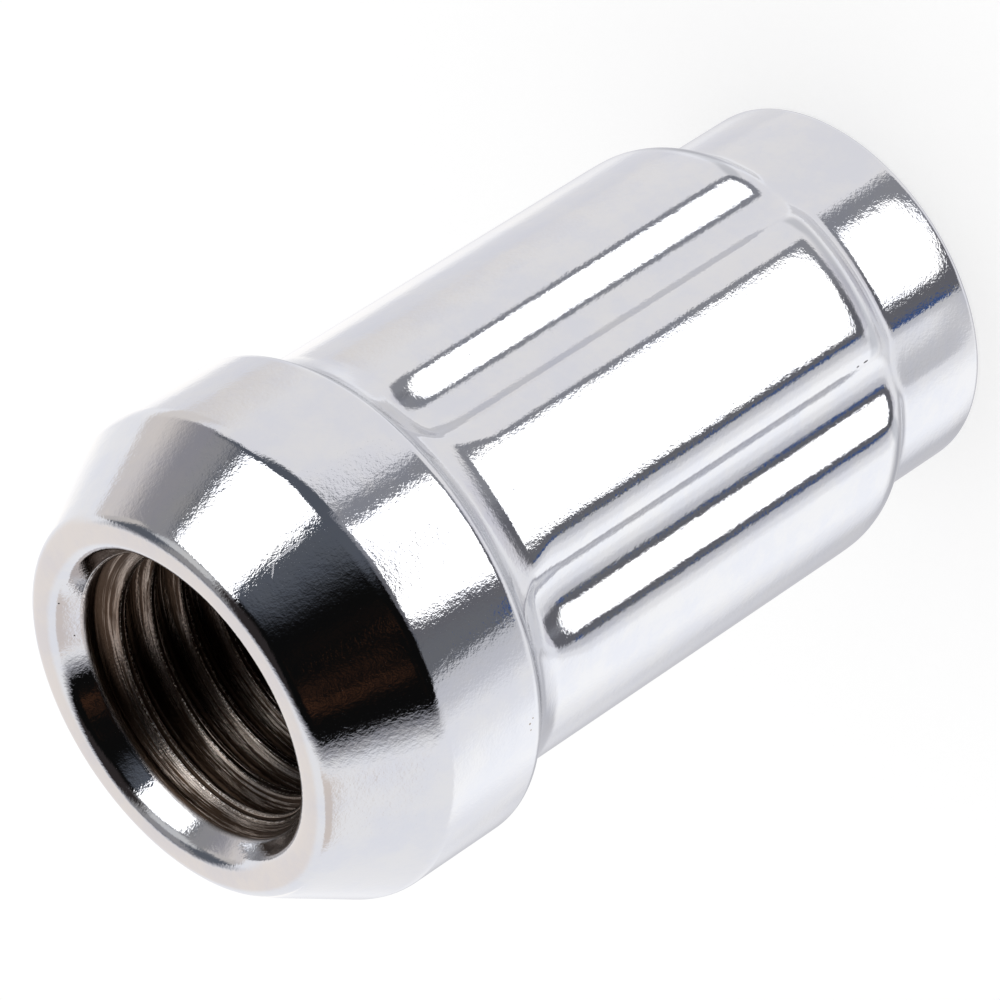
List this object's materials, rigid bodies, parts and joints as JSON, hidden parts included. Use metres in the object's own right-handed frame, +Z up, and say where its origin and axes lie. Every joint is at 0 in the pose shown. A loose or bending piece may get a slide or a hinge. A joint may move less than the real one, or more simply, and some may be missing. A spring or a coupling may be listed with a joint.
{
  "type": "locking wheel nut",
  "caption": "Closed-end locking wheel nut: conical seat, wide collar, key body with open-ended flutes, plain cap and a blind threaded bore.",
  "frame": {"origin": "centre of the closed end's flat face, on which the nut stands", "axes": "+Z up along the bore, out of the threaded mouth; +X through the middle of the land between the two flutes of a pair"},
  "size_m": [0.02, 0.02, 0.035],
  "materials": {
    "chrome_plate": "bright chrome plate over cold-forged steel, thin and duller inside the threaded bore"
  },
  "bodies": {
    "root": {"wheel_nut": "chrome_plate"}
  },
  "joints": []
}
